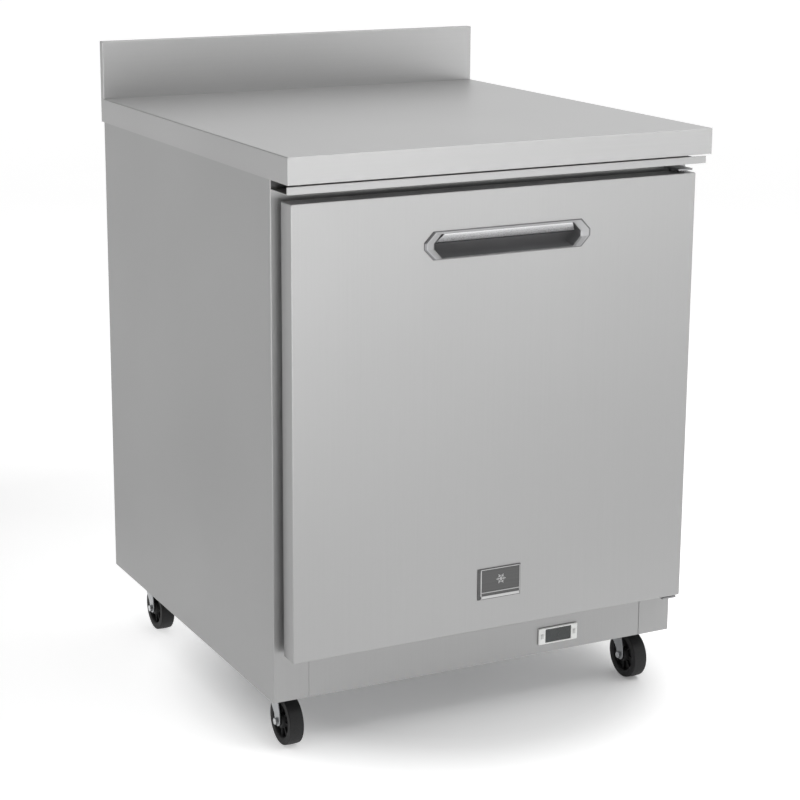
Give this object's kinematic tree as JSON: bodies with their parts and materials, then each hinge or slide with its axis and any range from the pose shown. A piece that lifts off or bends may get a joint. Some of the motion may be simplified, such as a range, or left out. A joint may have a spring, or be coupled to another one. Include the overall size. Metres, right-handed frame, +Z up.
{
  "type": "worktop refrigerator",
  "caption": "Worktop refrigerator in brushed stainless steel with a hinged door, recessed pull, rear backsplash and swivel casters.",
  "frame": {"origin": "on the floor, under the middle of the worktop's outline", "axes": "+Z up, -Y out of the door's front, +X to the right of a person who faces the door"},
  "size_m": [0.6984, 0.757, 1.003],
  "materials": {
    "worktop_steel": "satin",
    "panel_steel": "satin",
    "door_steel": "satin",
    "galvanised_steel": "matte",
    "core_board": "matte",
    "insulation_foam": "matte",
    "liner_aluminium": "satin",
    "breaker_plastic": "satin",
    "black_plastic": "matte",
    "bezel_plastic": "satin",
    "display_plastic": "gloss",
    "button_plastic": "satin",
    "compressor_paint": "satin",
    "black_rubber": "matte",
    "fin_aluminium": "satin",
    "copper": "satin",
    "shelf_coating": "satin",
    "bright_steel": "satin",
    "gasket_rubber": "matte",
    "bush_plastic": "satin",
    "handle_metal": "satin",
    "badge_metal": "satin",
    "caster_zinc": "satin",
    "wheel_rubber": "matte"
  },
  "bodies": {
    "cabinet": {"worktop": "worktop_steel", "worktop_core": "core_board", "backsplash": "worktop_steel", "front_rail": "worktop_steel", "side_panel_left": "panel_steel", "side_panel_right": "panel_steel", "back_panel": "galvanised_steel", "base_pan": "galvanised_steel", "machine_bulkhead": "galvanised_steel", "top_frame": "panel_steel", "lower_front_panel": "panel_steel", "foam_body": "insulation_foam", "liner_walls": "liner_aluminium", "liner_floor": "liner_aluminium", "breaker_strip": "breaker_plastic", "controller_case": "black_plastic", "controller_bezel": "bezel_plastic", "display_window": "display_plastic", "compressor": "compressor_paint", "compressor_grommets": "black_rubber", "condenser_coil": "compressor_paint", "condenser_fan_motor": "galvanised_steel", "drain_pan": "black_plastic", "refrigerant_lines": "copper", "rear_grille": "galvanised_steel", "cord_gland": "black_plastic", "evaporator_housing": "liner_aluminium", "evaporator_coil": "fin_aluminium", "evaporator_fan_motor": "galvanised_steel", "shelf_upper": "shelf_coating", "shelf_lower": "shelf_coating", "pilasters": "bright_steel", "shelf_clips": "bright_steel", "hinge_brackets": "bright_steel", "screws": "bright_steel", "caster_plates": "caster_zinc"},
    "door": {"door_skin": "door_steel", "door_liner": "liner_aluminium", "door_foam": "insulation_foam", "door_gasket": "gasket_rubber", "door_bushes": "bush_plastic", "handle_bezel": "handle_metal", "handle_pocket": "black_plastic", "badge_plate": "badge_metal"},
    "button_left": {"button_left": "button_plastic"},
    "button_right": {"button_right": "button_plastic"},
    "condenser_fan": {"condenser_fan": "black_plastic"},
    "evaporator_fan": {"evaporator_fan": "black_plastic"},
    "caster_fork_fl": {"caster_fork_fl": "caster_zinc", "caster_axle_fl": "bright_steel"},
    "caster_wheel_fl": {"caster_wheel_fl": "wheel_rubber"},
    "caster_fork_fr": {"caster_fork_fr": "caster_zinc", "caster_axle_fr": "bright_steel"},
    "caster_wheel_fr": {"caster_wheel_fr": "wheel_rubber"},
    "caster_fork_rl": {"caster_fork_rl": "caster_zinc", "caster_axle_rl": "bright_steel"},
    "caster_wheel_rl": {"caster_wheel_rl": "wheel_rubber"},
    "caster_fork_rr": {"caster_fork_rr": "caster_zinc", "caster_axle_rr": "bright_steel"},
    "caster_wheel_rr": {"caster_wheel_rr": "wheel_rubber"}
  },
  "joints": [
    {"name": "door_hinge", "type": "hinge", "parent": "cabinet", "child": "door", "pos_m": [0.32, -0.3415, 0.5019], "axis": [0, 0, 1], "range_deg": [0, 110]},
    {"name": "button_left_press", "type": "slide", "parent": "cabinet", "child": "button_left", "axis": [0, 1, 0], "range_m": [0, 0.0008], "stiffness_N_per_m": 500},
    {"name": "button_right_press", "type": "slide", "parent": "cabinet", "child": "button_right", "axis": [0, 1, 0], "range_m": [0, 0.0008], "stiffness_N_per_m": 500},
    {"name": "condenser_fan_spin", "type": "hinge", "parent": "cabinet", "child": "condenser_fan", "pos_m": [-0.16, 0.262, 0.195], "axis": [0, 1, 0], "continuous": true},
    {"name": "evaporator_fan_spin", "type": "hinge", "parent": "cabinet", "child": "evaporator_fan", "pos_m": [-0.11, 0.25, 0.695], "axis": [0, 1, 0], "continuous": true},
    {"name": "caster_swivel_fl", "type": "hinge", "parent": "cabinet", "child": "caster_fork_fl", "pos_m": [-0.305, -0.2383, 0.0917], "axis": [0, 0, 1], "continuous": true},
    {"name": "caster_roll_fl", "type": "hinge", "parent": "caster_fork_fl", "child": "caster_wheel_fl", "pos_m": [-0.305, -0.2663, 0.0381], "axis": [1, 0, 0], "continuous": true},
    {"name": "caster_swivel_fr", "type": "hinge", "parent": "cabinet", "child": "caster_fork_fr", "pos_m": [0.305, -0.2383, 0.0917], "axis": [0, 0, 1], "continuous": true},
    {"name": "caster_roll_fr", "type": "hinge", "parent": "caster_fork_fr", "child": "caster_wheel_fr", "pos_m": [0.305, -0.2663, 0.0381], "axis": [1, 0, 0], "continuous": true},
    {"name": "caster_swivel_rl", "type": "hinge", "parent": "cabinet", "child": "caster_fork_rl", "pos_m": [-0.305, 0.293, 0.0917], "axis": [0, 0, 1], "continuous": true},
    {"name": "caster_roll_rl", "type": "hinge", "parent": "caster_fork_rl", "child": "caster_wheel_rl", "pos_m": [-0.305, 0.265, 0.0381], "axis": [1, 0, 0], "continuous": true},
    {"name": "caster_swivel_rr", "type": "hinge", "parent": "cabinet", "child": "caster_fork_rr", "pos_m": [0.305, 0.293, 0.0917], "axis": [0, 0, 1], "continuous": true},
    {"name": "caster_roll_rr", "type": "hinge", "parent": "caster_fork_rr", "child": "caster_wheel_rr", "pos_m": [0.305, 0.265, 0.0381], "axis": [1, 0, 0], "continuous": true}
  ]
}
